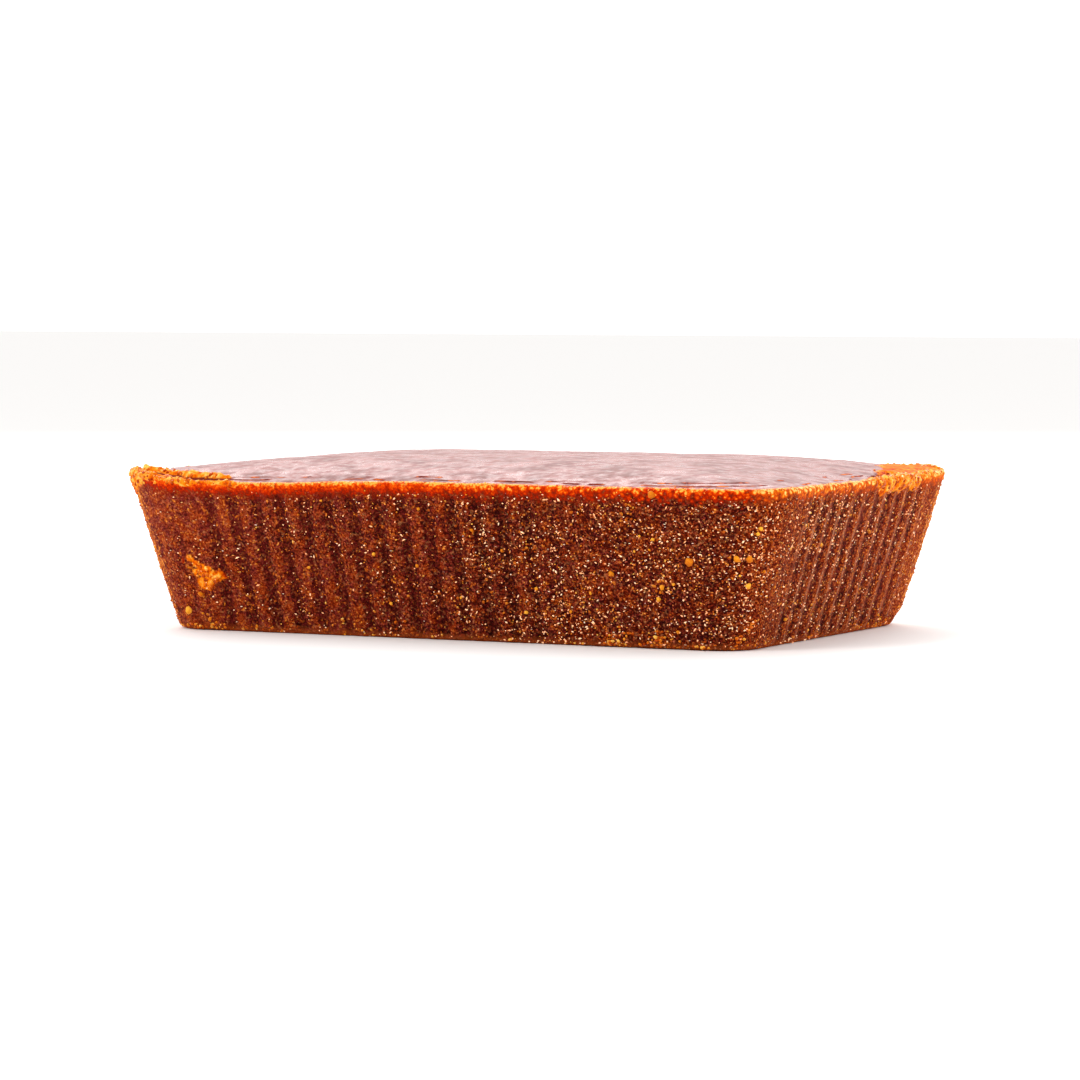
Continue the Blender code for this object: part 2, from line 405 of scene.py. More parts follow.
def bake_layout(places):
    """Where each face corner lies on the flat sheet that the looks are baked to, in millimetres on a square sheet.
    The wall is unrolled in three strips, the top lies flat beside them, and the base lies flat at a small scale."""
    rows = len(places)
    steps = np.linalg.norm(np.diff(places[:, 0], axis=0), axis=1)
    risen = np.concatenate([[0.0], np.cumsum(steps)]) / MM
    first_wall = len(BASE_RINGS)
    last_wall = rows - 1 - TOP_RINGS
    strip = COLUMNS // 3
    pitch = KNOTS[-1] / MM / COLUMNS
    row = np.repeat(np.arange(1, rows - 2), COLUMNS)
    column = np.tile(np.arange(COLUMNS), rows - 3)
    offsets = ((0, 0), (0, 1), (1, 1), (1, 0))
    sheet = np.zeros((len(row), 4, 2))
    for index, (up, on) in enumerate(offsets):
        place = places[row + up, column + on] / MM
        which = column // strip
        wall_u = 2.0 + (column + on - which * strip) * pitch
        wall_v = 100.0 + which * 35.0 + risen[row + up] - risen[first_wall]
        sheet[:, index, 0] = np.where(row >= last_wall, 72.0 + place[:, 0], wall_u)
        sheet[:, index, 1] = np.where(row >= last_wall, 50.0 + place[:, 1], wall_v)
        base = row < first_wall
        sheet[base, index, 0] = 173.0 + 0.38 * place[base, 1]
        sheet[base, index, 1] = 28.0 + 0.38 * place[base, 0]
    ring = np.arange(COLUMNS)
    pole = places[0, 0] / MM
    low = [np.broadcast_to(pole, (COLUMNS, 3)), places[1, ring + 1] / MM, places[1, ring] / MM]
    low_uv = np.stack([np.stack([173.0 + 0.38 * p[:, 1], 28.0 + 0.38 * p[:, 0]], axis=-1) for p in low], axis=1)
    top = [np.broadcast_to(places[-1, 0] / MM, (COLUMNS, 3)), places[-2, ring] / MM, places[-2, ring + 1] / MM]
    top_uv = np.stack([np.stack([72.0 + p[:, 0], 50.0 + p[:, 1]], axis=-1) for p in top], axis=1)
    return np.concatenate([sheet.reshape(-1, 2), low_uv.reshape(-1, 2), top_uv.reshape(-1, 2)]) / 205.0


def make_block(material):
    """The whole block as one closed skin."""
    places, masks = block_surface()
    places = close_poles(fine_relief(places, masks, grid_normals(places)))
    rows = len(places)
    middle = places[1:-1, :-1].reshape(-1, 3)
    points = np.concatenate([places[0, :1], middle, places[-1, :1]])
    quads, low_fan, high_fan = block_faces(rows)
    corners = np.concatenate([quads.ravel(), low_fan.ravel(), high_fan.ravel()])
    sizes = np.concatenate([np.full(quads[..., 0].size, 4), np.full(2 * COLUMNS, 3)])
    block = mesh_object("jaggery_body", points, corners, sizes, material)
    sheet = block.data.uv_layers.new(name="OFBake")
    sheet.data.foreach_set("uv", bake_layout(places).astype(np.float32).ravel())
    for name, values in masks.items():
        inner = values[1:-1, :-1].ravel()
        add_mask(block, name, np.concatenate([values[0, :1], inner, values[-1, :1]]))
    return block, places, masks


# ---------------------------------------------------------------- crystals and crumbs


def skin_patches(places):
    """The middle, area and outward normal of each cell of the skin's grid, flattened, from its four corners."""
    low_left = places[:-1, :-1]
    low_right = places[:-1, 1:]
    high_left = places[1:, :-1]
    high_right = places[1:, 1:]
    middle = 0.25 * (low_left + low_right + high_left + high_right)
    crossed = 0.5 * np.cross(high_right - low_left, high_left - low_right)
    area = np.linalg.norm(crossed, axis=-1)
    normal = crossed / np.maximum(area, 1e-15)[..., None]
    corners = np.stack([low_left, low_right, high_left, high_right], axis=-2)
    return middle.reshape(-1, 3), area.ravel(), normal.reshape(-1, 3), corners.reshape(-1, 4, 3)


def scatter(patches, weight, count, seed):
    """Random places on the skin, one in each drawn cell: cells are drawn by area times weight, and the place inside
    a cell is a random blend of its corners. Returns places and normals."""
    random = np.random.default_rng(seed)
    _, area, normal, corners = patches
    chance = area * weight
    drawn = random.choice(len(area), count, p=chance / chance.sum())
    u, v = random.uniform(0.0, 1.0, (2, count, 1))
    cell = corners[drawn]
    lower = cell[:, 0] * (1.0 - u) + cell[:, 1] * u
    upper = cell[:, 2] * (1.0 - u) + cell[:, 3] * u
    return lower * (1.0 - v) + upper * v, normal[drawn]


def random_turns(count, random):
    """Random rotation matrices, one per piece, from the orthogonal factor of a random matrix."""
    turns, _ = np.linalg.qr(random.normal(size=(count, 3, 3)))
    return turns * np.sign(np.linalg.det(turns))[:, None, None]


def many_solids(name, form, faces, centres, radii, stretch, material, smooth, seed):
    """Copies of one small closed form as real mesh: each is stretched, knocked out of true, turned and scaled at
    random, and put at its own place. The mask tone is one random number for each, plus painted light: a little more
    towards its upper side, as if lit from above. None goes below the floor."""
    random = np.random.default_rng(seed)
    count = len(centres)
    shape = form[None] * random.uniform(0.75, 1.25, (count, len(form), 1))
    scale = np.ones((count, 1, 3))
    scale[:, 0, 0] = random.uniform(1.0, stretch, count)
    shape = (shape * scale) @ random_turns(count, random)
    points = centres[:, None] + shape * radii[:, None, None]
    points[..., 2] = np.maximum(points[..., 2], 0.0)
    corners = faces[None] + (np.arange(count) * len(form))[:, None, None]
    made = mesh_object(name, points.reshape(-1, 3), corners.ravel(), np.full(count * len(faces), 3), material)
    if not smooth:
        made.data.shade_flat()
    # Painted light: each piece is a little paler on its upper side, as if lit from above.
    lighter = 0.22 * shape[..., 2]
    add_mask(made, "tone", (random.uniform(0.0, 1.0, count)[:, None] + lighter).ravel())
    return made


def octahedron():
    """Six points on the axes and the eight faces between them, facing outwards."""
    points = np.array([[1, 0, 0], [-1, 0, 0], [0, 1, 0], [0, -1, 0], [0, 0, 1], [0, 0, -1]], dtype=float)
    faces = np.array([[0, 2, 4], [2, 1, 4], [1, 3, 4], [3, 0, 4], [2, 0, 5], [1, 2, 5], [3, 1, 5], [0, 3, 5]])
    return points, faces


def round_form():
    """An octahedron with each face cut in four and its points pushed out to a ball of thirty-two faces."""
    points, faces = octahedron()
    ends = np.concatenate([faces[:, [0, 1]], faces[:, [1, 2]], faces[:, [2, 0]]])
    edges, index = np.unique(np.sort(ends, axis=1), axis=0, return_inverse=True)
    middles = points[edges].mean(axis=1)
    middles /= np.linalg.norm(middles, axis=1, keepdims=True)
    first, second, third = 6 + index.reshape(3, len(faces))
    cut = [
        np.stack([faces[:, 0], first, third], axis=1),
        np.stack([faces[:, 1], second, first], axis=1),
        np.stack([faces[:, 2], third, second], axis=1),
        np.stack([first, second, third], axis=1),
    ]
    return np.concatenate([points, middles]), np.concatenate(cut)


def make_crystals(patches, masks):
    """The loose and half-sunk crystals of the walls and rim, and the crumbs of the crumbled corners and the foot."""
    middle, _, normal, _ = patches
    crumbly = cell_mask(masks["crumbly"])
    below = cell_mask(masks["below_rim"])
    inside = cell_mask(masks["inside_rim"])
    foot = cell_mask(masks["above_foot"])
    groove = cell_mask(masks["groove"])
    sandy = cell_mask(masks["sandy"])
    wall = (np.abs(normal[:, 2]) < 0.8) * 1.0
    rim = np.exp(-below / 0.35) * np.exp(-inside / 0.12) * (middle[:, 2] > 0.5 * RIM_HEIGHT)
    clusters = smooth_step(-0.6, 0.7, layered_noise(middle, 5.0 * MM, 2, 201))
    groove_edge = 1.0 + 1.6 * np.exp(-(((groove - 0.5) / 0.22) ** 2)) * (groove > 0.05)
    density = wall * (0.12 + 0.88 * sandy) * (0.3 + clusters) * groove_edge * smooth_step(1.2, 2.8, below)
    density = density * (1.0 - 0.5 * cell_mask(masks["lit_side"]))
    octa = octahedron()
    ball = round_form()
    pieces = []

    near_corner = smooth_step(0.75 * HALF_LENGTH, 0.93 * HALF_LENGTH, middle[:, 0])
    near_corner = near_corner * smooth_step(0.60 * HALF_WIDTH, 0.85 * HALF_WIDTH, -middle[:, 1])
    centres, facing = scatter(patches, density * (0.3 + sandy) * (1.0 + 2.0 * near_corner), 2100, 301)
    radii = np.random.default_rng(302).uniform(0.09, 0.18, len(centres)) * MM
    pale = sugar_material("pale sugar crystals", PALE_TONES, 0.3)
    # Painted light: the pale crystals glow a little by emission, standing in for light that comes through them and for
    # their glints.
    pale_glow = pale.node_tree.nodes["Principled BSDF"].inputs
    pale_glow["Emission Color"].default_value = linear("#ffd4a8")
    pale_glow["Emission Strength"].default_value = 0.5
    pieces.append(many_solids("pale_crystals", *octa, centres + facing * radii[:, None] * 0.3, radii, 2.8, pale, False, 303))

    centres, facing = scatter(patches, density, 2400, 311)
    radii = np.random.default_rng(312).uniform(0.09, 0.21, len(centres)) * MM
    amber = sugar_material("amber sugar crystals", AMBER_TONES, 0.22)
    pieces.append(many_solids("amber_crystals", *octa, centres + facing * radii[:, None] * 0.1, radii, 1.8, amber, False, 313))

    centres, facing = scatter(patches, rim, 2000, 321)
    radii = np.random.default_rng(322).uniform(0.08, 0.26, len(centres)) * MM
    pieces.append(many_solids("rim_crystals", *octa, centres - facing * radii[:, None] * 0.4, radii, 1.6, amber, False, 323))

    centres, facing = scatter(patches, crumbly * (1.0 - cell_mask(masks["bare"])), 560, 331)
    radii = np.random.default_rng(332).uniform(0.15, 0.55, len(centres)) * MM
    crumb = sugar_material("amber crumbs", CRUMB_TONES, 0.35)
    pieces.append(many_solids("stuck_crumbs", *ball, centres - facing * radii[:, None] * 0.45, radii, 1.6, crumb, False, 333))

    foot_density = np.exp(-foot / 0.8) * (foot > 0.05) * smooth_step(-0.2, 0.5, layered_noise(middle, 6.0 * MM, 2, 341))
    loose, facing = scatter(patches, foot_density, 420, 342)
    random = np.random.default_rng(345)
    spread = random.normal(0.0, 1.0, (len(FOOT_CLUMPS), CLUMP_CRUMBS, 3)) * (0.8, 0.3, 0.6)
    clumped = (np.array(FOOT_CLUMPS)[:, None] + spread).reshape(-1, 3) * MM
    centres = np.concatenate([loose, middle[nearest_patches(middle, clumped)]])
    radii = np.random.default_rng(343).uniform(0.10, 0.34, len(centres)) * MM
    centres[:, 2] = np.maximum(centres[:, 2], radii * 2.0)
    pieces.append(many_solids("foot_crumbs", *ball, centres, radii, 1.6, crumb, False, 344))

    chunky = density * smooth_step(0.1, 0.7, layered_noise(middle, 6.0 * MM, 2, 361)) + 0.5 * wall * cell_mask(masks["corner"])
    centres, facing = scatter(patches, chunky, 420, 362)
    radii = np.random.default_rng(363).uniform(0.18, 0.36, len(centres)) * MM
    chunk = sugar_material("amber sugar lumps", CHUNK_TONES, 0.3)
    pieces.append(many_solids("amber_lumps", *ball, centres - facing * radii[:, None] * 0.4, radii, 1.8, chunk, True, 364))

    centres, radii = placed_grains(patches, density)
    grain = sugar_material("round amber grains", GRAIN_TONES, 0.3)
    pieces.append(many_solids("amber_grains", *ball, centres, radii, 1.35, grain, True, 352))
    return pieces


# The tones of each kind of crystal, from its darkest to its palest, as stops of a ramp.
PALE_TONES = (("#d46824", 0.0), ("#ff9a4c", 0.35), ("#ffbc80", 0.65), ("#ffdcb8", 1.0))
AMBER_TONES = (("#9c3606", 0.0), ("#c85c10", 0.4), ("#f09024", 0.8), ("#ffc45c", 1.0))
CRUMB_TONES = (("#a43604", 0.0), ("#d4620c", 0.4), ("#f08c1c", 0.75), ("#ffc458", 1.0))
CHUNK_TONES = (("#943808", 0.0), ("#b85410", 0.5), ("#e08424", 0.85), ("#ffc060", 1.0))
GRAIN_TONES = (("#d06c10", 0.0), ("#ee921c", 0.5), ("#ffb438", 1.0))

# Painted glints of grains that catch the light: size in millimetres, turn, how flat they are, and the cells left dark
# where the sugar is fine and where it is sandy.
SPARKLES = ((0.50, 0.0, 1.0, 0.985, 0.88), (0.80, 0.7, 2.8, 0.98, 0.88), (0.80, -0.9, 2.8, 0.985, 0.90))

# Single grains big enough to be told apart: place in millimetres and radius.
SINGLE_GRAINS = (
    ((52.8, -43.8, 16.3), 0.80), ((62.1, -43.9, 16.6), 0.62), ((65.9, -43.6, 15.8), 0.60), ((36.6, -43.0, 13.6), 0.55),
    ((65.4, -42.1, 10.7), 0.55), ((69.0, -43.5, 21.0), 0.48), ((45.6, -41.8, 9.5), 0.50), ((46.5, -42.4, 11.6), 0.50),
    ((46.9, -47.5, 28.8), 0.75), ((-55.0, -40.0, 3.6), 0.80), ((-51.6, -41.1, 7.2), 0.48), ((-50.8, -39.5, 2.0), 0.42),
)

# Clumps of crumbs at the foot: how many crumbs in each, and the places in millimetres.
CLUMP_CRUMBS = 14
FOOT_CLUMPS = (
    (34.4, -39.3, 1.0), (35.6, -39.3, 2.0), (37.4, -39.4, 2.8), (43.4, -39.4, 1.4), (45.4, -39.6, 2.8), (45.0, -39.5, 0.9),
    (52.5, -39.5, 1.0), (63.0, -39.6, 0.9), (65.8, -39.5, 1.8), (66.6, -38.6, 3.2), (-53.5, -38.6, 0.9), (-49.5, -38.8, 0.9),
)


def nearest_patches(middle, wanted):
    """For each place wanted, the number of the patch of skin whose middle is nearest to it."""
    return np.array([np.argmin(np.sum((middle - place) ** 2, axis=1)) for place in wanted])


def placed_grains(patches, density):
    """The single grains, each moved to the nearest place on the skin, and some more scattered at random."""
    middle, _, normal, _ = patches
    wanted = np.array([place for place, _ in SINGLE_GRAINS]) * MM
    radii = np.array([radius for _, radius in SINGLE_GRAINS]) * MM
    nearest = nearest_patches(middle, wanted)
    centres = middle[nearest] + normal[nearest] * radii[:, None] * 0.1
    more, facing = scatter(patches, density, 60, 351)
    more_radii = np.random.default_rng(353).uniform(0.22, 0.40, len(more)) * MM
    return np.concatenate([centres, more - facing * more_radii[:, None] * 0.1]), np.concatenate([radii, more_radii])


def cell_mask(values):
    """A mask of the grid's points as one number for each of its cells, flattened: the mean of the four corners."""
    return (0.25 * (values[:-1, :-1] + values[:-1, 1:] + values[1:, :-1] + values[1:, 1:])).ravel()


# ---------------------------------------------------------------- materials


def linear(code):
    """A colour written as sRGB hex, turned linear, with full alpha."""
    parts = [int(code[start : start + 2], 16) / 255.0 for start in (1, 3, 5)]
    return [p / 12.92 if p <= 0.04045 else ((p + 0.055) / 1.055) ** 2.4 for p in parts] + [1.0]


def add_node(tree, kind, inputs=(), stops=(), **settings):
    """Adds a node, sets its properties, and fills its inputs: a socket is linked, anything else is set."""
    made = tree.nodes.new(kind)
    for name, value in settings.items():
        setattr(made, name, value)
    for key, value in dict(inputs).items():
        if isinstance(value, bpy.types.NodeSocket):
            tree.links.new(value, made.inputs[key])
        else:
            made.inputs[key].default_value = value
    if stops:
        band = made.color_ramp.elements
        while len(band) < len(stops):
            band.new(0.5)
        for element, (code, position) in zip(band, stops):
            element.position = position
            element.color = linear(code)
    return made


class Tree:
    """Short ways to add the nodes that the materials use, all in millimetres of the block's own space."""

    def __init__(self, material):
        material.use_nodes = True
        self.tree = material.node_tree
        self.shader = self.tree.nodes["Principled BSDF"]
        self.place = add_node(self.tree, "ShaderNodeTexCoord").outputs["Object"]

    def noise(self, size, detail=2.0, rough=0.5, shift=0.0):
        """Cloudy noise whose clouds are about this many millimetres apart."""
        place = add_node(self.tree, "ShaderNodeVectorMath", {0: self.place, 1: (shift, shift, shift)}).outputs[0]
        inputs = {"Vector": place, "Scale": 1.0 / (size * MM), "Detail": detail, "Roughness": rough}
        return add_node(self.tree, "ShaderNodeTexNoise", inputs).outputs["Fac"]

    def cells(self, size):
        """Voronoi cells of about this many millimetres: the distance to the middle and a random colour for each."""
        made = add_node(self.tree, "ShaderNodeTexVoronoi", {"Vector": self.place, "Scale": 1.0 / (size * MM)})
        return made.outputs["Distance"], made.outputs["Color"]

    def thread(self, size, shift, width):
        """Thin bent lines where cloudy noise passes through its middle value: 1 on a line, 0 beyond the width."""
        away = self.math("ABSOLUTE", self.math("SUBTRACT", self.noise(size, 1.0, 0.5, shift), 0.5))
        return self.span(away, 0.0, width, 1.0, 0.0)

    def mask(self, name):
        return add_node(self.tree, "ShaderNodeAttribute", attribute_name=name).outputs["Fac"]

    def math(self, operation, *values):
        return add_node(self.tree, "ShaderNodeMath", dict(enumerate(values)), operation=operation).outputs[0]

    def span(self, value, low, high, start=0.0, end=1.0):
        """Turns low..high of a value into start..end, held at both ends."""
        return add_node(self.tree, "ShaderNodeMapRange", {0: value, 1: low, 2: high, 3: start, 4: end}).outputs[0]

    def ramp(self, value, stops):
        return add_node(self.tree, "ShaderNodeValToRGB", {0: value}, stops=stops).outputs[0]

    def mix(self, share, first, second, blend="MIX"):
        inputs = {0: share, 6: first, 7: second}
        return add_node(self.tree, "ShaderNodeMix", inputs, data_type="RGBA", blend_type=blend).outputs[2]

    def bump(self, height, depth, strength=1.0):
        inputs = {"Strength": strength, "Distance": depth * MM, "Height": height}
        made = add_node(self.tree, "ShaderNodeBump", inputs)
        self.tree.links.new(made.outputs[0], self.shader.inputs["Normal"])

    def colour(self, socket):
        self.tree.links.new(socket, self.shader.inputs["Base Color"])


def jaggery_material():
    """Jaggery, cane juice boiled down and cast in a fluted tray: dense brown sugar that light enters at the rim. Its
    colour
    also carries painted light: glow at the rim, the corners and the foot, highlights and glints, and shade in the
    grooves.
    """
    material = bpy.data.materials.new("cast jaggery")
    tree = Tree(material)
    groove = tree.mask("groove")
    sandy = tree.mask("sandy")
    side = tree.mask("lit_side")

    # dip: the grooves of the flutes, painted with shade: darker, more wine and cooled towards purple, with fewer
    # painted highlights
    dip = tree.span(groove, 0.35, 0.8)

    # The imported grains: each cell is one grain with its own tone, with dark gaps between them.
    distance, random = tree.cells(0.42)
    kind = add_node(tree.tree, "ShaderNodeSeparateColor", {0: random})
    contrast = tree.math("MULTIPLY", tree.span(sandy, 0.0, 1.0, 0.80, 1.9), tree.span(dip, 0.0, 1.0, 1.0, 0.75))
    tone = tree.math("MULTIPLY_ADD", kind.outputs[0], 0.18, -0.09)
    tone = tree.math("MULTIPLY_ADD", tree.span(distance, 0.35, 0.75), -0.12, tone)
    tone = tree.math("MULTIPLY_ADD", tree.math("SUBTRACT", tree.noise(0.36, 2.0, 0.6), 0.5), 1.0, tone)
    tone = tree.math("MULTIPLY_ADD", tree.math("SUBTRACT", tree.noise(1.2, 2.0, 0.5, 0.3), 0.5), 0.26, tone)
    tone = tree.math("MULTIPLY_ADD", tone, contrast, 0.54)
    tone = tree.math("MULTIPLY_ADD", tree.math("SUBTRACT", tree.noise(4.5, 2.0, 0.5, 0.7), 0.5), 0.12, tone)
    # Painted shade: darker in the grooves.
    tone = tree.math("MULTIPLY_ADD", dip, -0.065, tone)
    tone = tree.math("MULTIPLY_ADD", sandy, -0.215, tone)
    # Painted light: lighter on the lit side.
    tone = tree.math("MULTIPLY_ADD", side, 0.115, tone)

    # Two sugars in clouds: one dark as wine, one rust-coloured that light gets into.
    wine = tree.ramp(tone, (
        ("#280206", 0.20), ("#4a0a0a", 0.36), ("#681a16", 0.48), ("#8a3428", 0.62), ("#bc6c50", 0.82),
    ))
    rust = tree.ramp(tone, (
        ("#400400", 0.20), ("#6c1804", 0.35), ("#8a2c0a", 0.47), ("#a84418", 0.60), ("#d87834", 0.82),
    ))
    # Painted light and shade: more rust on the lit side, more wine in the grooves.
    cloud = tree.math("MULTIPLY_ADD", side, 0.18, tree.noise(2.4, 3.0, 0.6, 0.37))
    cloud = tree.math("MULTIPLY_ADD", dip, -0.24, cloud)
    sugar = tree.mix(tree.span(cloud, 0.41, 0.61), wine, rust)
    # Painted shade: the grooves cooled towards purple.
    cool = tree.mix(1.0, sugar, linear("#d0a8b8"), "MULTIPLY")
    sugar = tree.mix(tree.math("MULTIPLY", dip, 0.7), sugar, cool)

    # Painted highlights: bent threads of light along the edges of the grains, broken up and gathered in clouds.
    gather = tree.math("MULTIPLY_ADD", sandy, 0.50, tree.noise(2.6, 3.0, 0.6, 0.83))
    gather = tree.math("MULTIPLY_ADD", dip, -0.12, gather)
    thread = tree.math("MAXIMUM", tree.thread(1.15, 0.19, 0.10), tree.thread(1.7, 0.53, 0.07))
    thread = tree.math("MULTIPLY", thread, tree.span(tree.noise(0.6, 1.0, 0.5, 0.61), 0.48, 0.56))
    thread = tree.math("MULTIPLY", thread, tree.span(gather, 0.60, 1.10, 0.28, 0.40))
    thread_tone = tree.ramp(tree.noise(0.7, 1.0, 0.5, 0.91), (("#843414", 0.40), ("#b45c30", 0.52), ("#f8a468", 0.66)))
    sugar = tree.mix(thread, sugar, thread_tone)

    # Painted glints: grains and slivers that catch the light, orange at their edges and some of them pale in their
    # middles, each in a dark ring.
    for size, turn, squash, few, many in SPARKLES:
        turned = add_node(tree.tree, "ShaderNodeMapping", {0: tree.place, 2: (turn, turn, 0.4), 3: (1.0, 1.0, squash)})
        spot = add_node(tree.tree, "ShaderNodeTexVoronoi", {"Vector": turned.outputs[0], "Scale": 1.0 / (size * MM)})
        spot_kind = add_node(tree.tree, "ShaderNodeSeparateColor", {0: spot.outputs["Color"]})
        chosen = tree.math("GREATER_THAN", spot_kind.outputs[0], tree.span(gather, 0.60, 1.10, few, many))
        shade = tree.math("MULTIPLY_ADD", spot_kind.outputs[1], 0.16, spot.outputs["Distance"])
        core = tree.ramp(spot_kind.outputs[2], (("#c86420", 0.0), ("#f09a4c", 0.3), ("#ffc080", 0.6), ("#ffe8cc", 0.9)))
        lit = tree.mix(tree.span(shade, 0.28, 0.38), core, linear("#a03810"))
        gap = tree.math("MULTIPLY", chosen, tree.span(shade, 0.60, 0.50, 0.0, 0.75))
        sugar = tree.mix(gap, sugar, linear("#300604"))
        sugar = tree.mix(tree.math("MULTIPLY", chosen, tree.span(shade, 0.46, 0.36)), sugar, lit)

    # Painted highlights: pale lines down the crests of the flutes on the side that the light comes through.
    wear_and_highlight = tree.math("MULTIPLY", tree.mask("crest"), tree.span(tree.noise(1.6, 3.0, 0.6, 0.13), 0.42, 0.58, 0.15, 0.7))
    sugar = tree.mix(tree.math("MULTIPLY", wear_and_highlight, side), sugar, linear("#c48868"))

    # Painted glow of light coming through at the upright corners, grain by grain, and a little at the foot.
    through = tree.ramp(tree.math("MULTIPLY_ADD", kind.outputs[2], 0.25, tree.math("MULTIPLY", tone, 0.8)), (
        ("#7a2808", 0.34), ("#b85418", 0.48), ("#e07c24", 0.60), ("#ffb050", 0.76),
    ))
    lamp = tree.math("MULTIPLY_ADD", tree.mask("corner"), 0.32, tree.noise(0.9, 3.0, 0.6, 0.5))
    lamp = tree.span(lamp, 0.57, 0.69)
    sugar = tree.mix(lamp, sugar, through)
    foot = tree.math("ADD", tree.mask("above_foot"), tree.math("MULTIPLY", tree.noise(1.3, 3.0), 1.6))
    sugar = tree.mix(tree.span(foot, 1.0, 2.4, 0.55, 0.0), sugar, linear("#b0501c"))

    # The rim: its sugar is amber, and its colour is painted glow of light coming through it: yellow at the edge, then
    # orange, then red, and brown below. The band is deeper where the sugar is sandy, and the painted glow is more
    # yellow on the lit side.
    depth = tree.math("MULTIPLY_ADD", tree.noise(1.3, 3.0), 1.0, tree.mask("below_rim"))
    depth = tree.math("MULTIPLY_ADD", tree.math("SUBTRACT", tree.noise(0.45, 2.0, 0.6, 0.71), 0.5), 2.4, depth)
    depth = tree.math("MULTIPLY_ADD", kind.outputs[0], 0.7, depth)
    big_grains, _ = tree.cells(0.95)
    jump = tree.math("MULTIPLY", tree.math("SUBTRACT", big_grains, 0.42), tree.span(sandy, 0.3, 1.0, 0.8, 3.2))
    depth = tree.math("ADD", jump, depth)
    depth = tree.math("SUBTRACT", depth, tree.span(sandy, 0.3, 1.0, 1.12, 1.0))
    depth = tree.math("MULTIPLY", depth, tree.span(sandy, 0.3, 1.0, 0.24, 0.245))
    red_glow = tree.ramp(depth, (
        ("#ffac44", 0.0), ("#f48018", 0.025), ("#ea5e06", 0.07), ("#dc4202", 0.15), ("#c42c00", 0.25), ("#a41c00", 0.37),
        ("#821c06", 0.50),
    ))
    gold_glow = tree.ramp(depth, (
        ("#ffd078", 0.0), ("#f49820", 0.06), ("#e8740e", 0.13), ("#d8580c", 0.24), ("#c0440c", 0.36), ("#94340c", 0.50),
    ))
    glow = tree.mix(side, red_glow, gold_glow)
    fade = tree.span(depth, 0.42, 0.78, 1.0, 0.0)
    wall = tree.mix(fade, sugar, glow)

    # The poured skin of the top, smooth and dark, with dark red cracks inside the rim.
    streak = tree.noise(6.0, 3.0, 0.6)
    skin = tree.ramp(streak, (("#661c12", 0.35), ("#78241a", 0.5), ("#883026", 0.65)))
    over_top = tree.span(tree.mask("inside_rim"), 0.1, 0.5)
    colour = tree.mix(over_top, wall, skin)
    split = tree.span(tree.mask("crack"), 0.2, 0.6)
    colour = tree.mix(split, colour, tree.ramp(tree.noise(1.8, 2.0, 0.5, 0.9), (("#5a0c00", 0.44), ("#942804", 0.51), ("#dc6c18", 0.61))))

    # Bare crumbs where the rim and the wall have crumbled, painted lighter on the tops of their lumps and darker red
    # between them as light and shade, and a little darker more than 3 millimetres below the rim.
    lump = tree.math("MULTIPLY_ADD", tree.mask("crumb_top"), 0.50, tree.math("MULTIPLY", tree.noise(0.9, 3.0, 0.6), 0.72))
    lump = tree.math("SUBTRACT", lump, tree.span(tree.mask("below_rim"), 3.0, 6.0, 0.0, 0.08))
    lump = tree.math("MULTIPLY_ADD", tree.mask("bare"), tree.math("MULTIPLY_ADD", lump, -0.25, 0.10), lump)
    crumbs = tree.ramp(lump, (
        ("#8c1a00", 0.47), ("#c04002", 0.55), ("#e46604", 0.65), ("#f8880c", 0.76), ("#ffc860", 0.94),
    ))
    colour = tree.mix(tree.span(tree.mask("crumbly"), 0.15, 0.5), colour, crumbs)
    tree.colour(colour)

    height = tree.math("MULTIPLY_ADD", tree.noise(1.2, 2.0, 0.5, 0.3), 0.5, tree.math("MULTIPLY", distance, -0.5))
    flat = tree.span(tree.mask("inside_rim"), 0.1, 0.5, 1.0, 0.16)
    tree.bump(tree.math("MULTIPLY", height, flat), 0.35)
    satin = tree.span(tree.math("MULTIPLY_ADD", tree.noise(2.0, 2.0, 0.6, 0.4), 0.5, tree.math("MULTIPLY", streak, 0.5)), 0.40, 0.60, 0.50, 0.25)
    skinned = tree.math("MULTIPLY", over_top, tree.span(tree.math("ADD", tree.mask("crumbly"), split), 0.15, 0.5, 1.0, 0.0))
    lip = tree.span(tree.mask("below_rim"), 0.03, 0.15, 0.8, 0.0)
    lip = tree.math("MULTIPLY", lip, tree.span(over_top, 0.0, 1.0, 1.0, 0.0))
    skinned = tree.math("MAXIMUM", skinned, lip)
    rough = tree.math("MULTIPLY_ADD", skinned, tree.math("SUBTRACT", satin, 0.85), 0.85)
    tree.tree.links.new(rough, tree.shader.inputs["Roughness"])
    tree.shader.inputs["Specular IOR Level"].default_value = 0.16
    tree.shader.inputs["Specular Tint"].default_value = linear("#ff8c40")
    tree.shader.inputs["Subsurface Weight"].default_value = 0.1
    tree.shader.inputs["Subsurface Radius"].default_value = (1.0, 0.25, 0.06)
    tree.shader.inputs["Subsurface Scale"].default_value = 1.2 * MM
    return material


def sugar_material(name, stops, roughness):
    """Sugar crystals: each its own tone between the given colours, paler on its upper side as painted light, glassy on
    its faces.
    """
    material = bpy.data.materials.new(name)
    tree = Tree(material)
    mottle = tree.math("MULTIPLY_ADD", tree.noise(0.5, 2.0, 0.5), 0.9, -0.45)
    tree.colour(tree.ramp(tree.math("ADD", tree.mask("tone"), mottle), stops))
    tree.shader.inputs["Roughness"].default_value = roughness
    tree.shader.inputs["Specular IOR Level"].default_value = 0.2
    tree.shader.inputs["Specular Tint"].default_value = linear("#ffc890")
    return material


# ---------------------------------------------------------------- stage


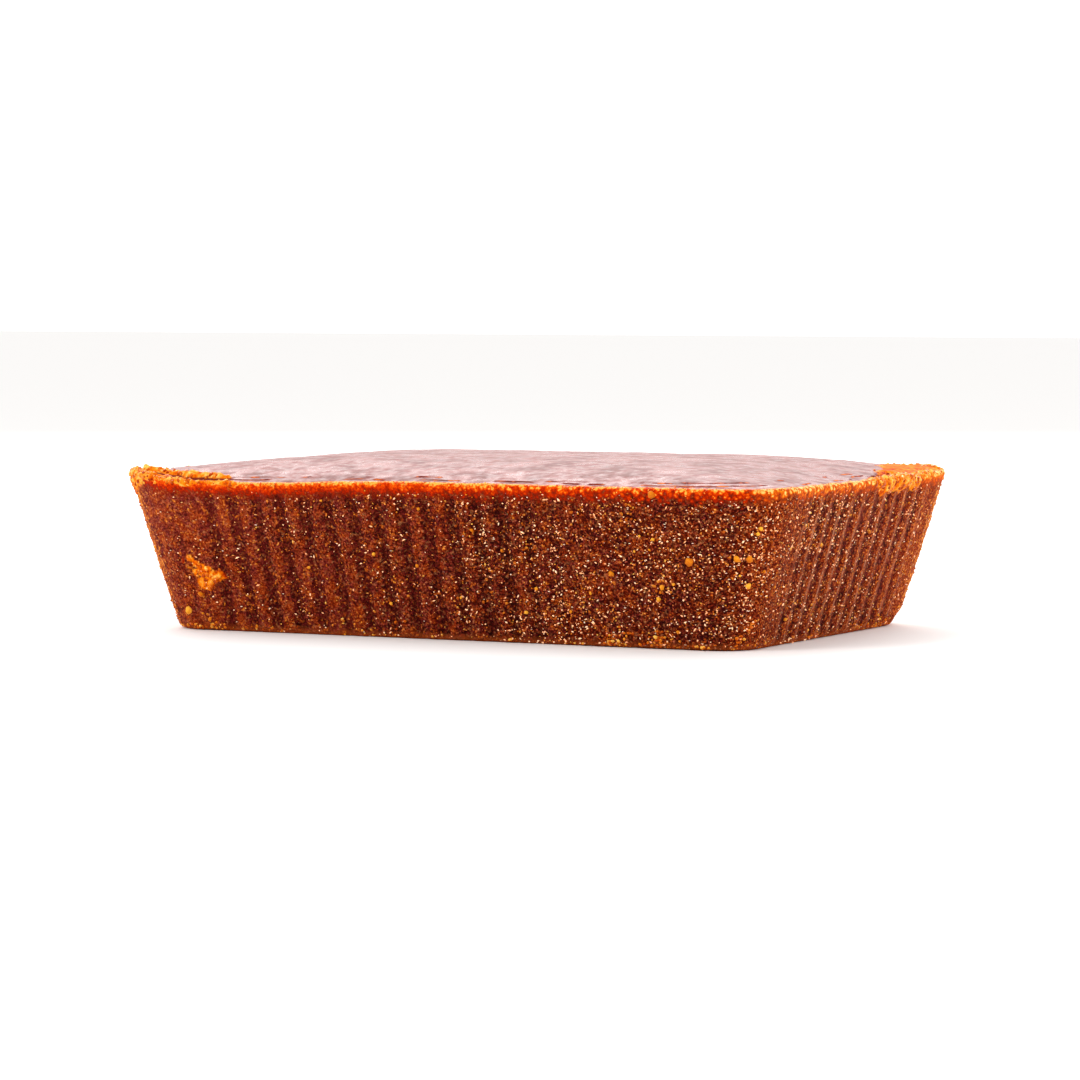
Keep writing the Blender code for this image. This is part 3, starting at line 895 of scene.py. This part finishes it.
def make_floor():
    """A wide, pale floor."""
    size = 4.0
    corner = np.array([[-size, -size, 0.0], [size, -size, 0.0], [size, size, 0.0], [-size, size, 0.0]])
    material = bpy.data.materials.new("pale floor")
    tree = Tree(material)
    tree.shader.inputs["Base Color"].default_value = linear("#f8f7f6")
    tree.shader.inputs["Roughness"].default_value = 0.9
    tree.shader.inputs["Specular IOR Level"].default_value = 0.2
    mesh_object("floor", corner, np.arange(4), np.array([4]), material)


def make_light(name, turn, rise, distance, width, height, glare):
    """A softbox that faces the block: turn is counted from the camera's side and rise from the floor, in degrees.
    Glare is the brightness of its face, where the white cove is 1."""
    data = bpy.data.lights.new(name, "AREA")
    data.shape = "RECTANGLE"
    data.size = width
    data.size_y = height
    data.energy = glare * math.pi * width * height
    light = bpy.data.objects.new(name, data)
    bpy.context.scene.collection.objects.link(light)
    angle = CAMERA_TURN + math.radians(turn)
    level = math.radians(rise)
    across = distance * math.cos(level)
    light.location = (math.sin(angle) * across, -math.cos(angle) * across, distance * math.sin(level))
    light.rotation_euler = (math.radians(90.0) - level, 0.0, angle)


def make_world():
    """A white cove: bright behind the block and overhead, greyer on the side that the camera stands."""
    world = bpy.data.worlds.new("white cove")
    world.use_nodes = True
    bpy.context.scene.world = world
    tree = world.node_tree
    way = add_node(tree, "ShaderNodeTexCoord").outputs["Generated"]
    back = (-math.sin(CAMERA_TURN), math.cos(CAMERA_TURN), 0.35)
    behind = add_node(tree, "ShaderNodeVectorMath", {0: way, 1: back}, operation="DOT_PRODUCT").outputs["Value"]
    strength = add_node(tree, "ShaderNodeMapRange", {0: behind, 1: -0.7, 2: 0.6, 3: 0.55, 4: 1.25}).outputs[0]
    tree.links.new(strength, tree.nodes["Background"].inputs["Strength"])
    tree.nodes["Background"].inputs["Color"].default_value = linear("#fffefd")


def make_camera():
    """The camera looks slightly down at the middle of the block, from the side where a corner faces it."""
    data = bpy.data.cameras.new("camera")
    data.lens = CAMERA_LENS
    data.sensor_width = 36.0
    camera = bpy.data.objects.new("camera", data)
    bpy.context.scene.collection.objects.link(camera)
    camera.location = (math.sin(CAMERA_TURN) * CAMERA_DISTANCE, -math.cos(CAMERA_TURN) * CAMERA_DISTANCE, CAMERA_RISE)
    down = math.atan2(CAMERA_RISE - TOP_HEIGHT / 2.0, CAMERA_DISTANCE)
    camera.rotation_euler = (math.radians(90.0) - down, 0.0, CAMERA_TURN)
    bpy.context.scene.camera = camera


make_camera()
bpy.context.scene.view_settings.view_transform = "Standard"
body, skin_places, skin_masks = make_block(jaggery_material())
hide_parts("jaggery_block")
for piece in [body] + make_crystals(skin_patches(skin_places), skin_masks):
    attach(piece, "root")
make_floor()
make_world()
make_light("back softbox", 180.0, 36.0, 0.9, 1.1, 0.5, 3.9)
make_light("key softbox", -48.0, 38.0, 0.8, 0.22, 0.22, 14.0)
make_light("small fill", 52.0, 30.0, 0.8, 0.16, 0.16, 19.0)
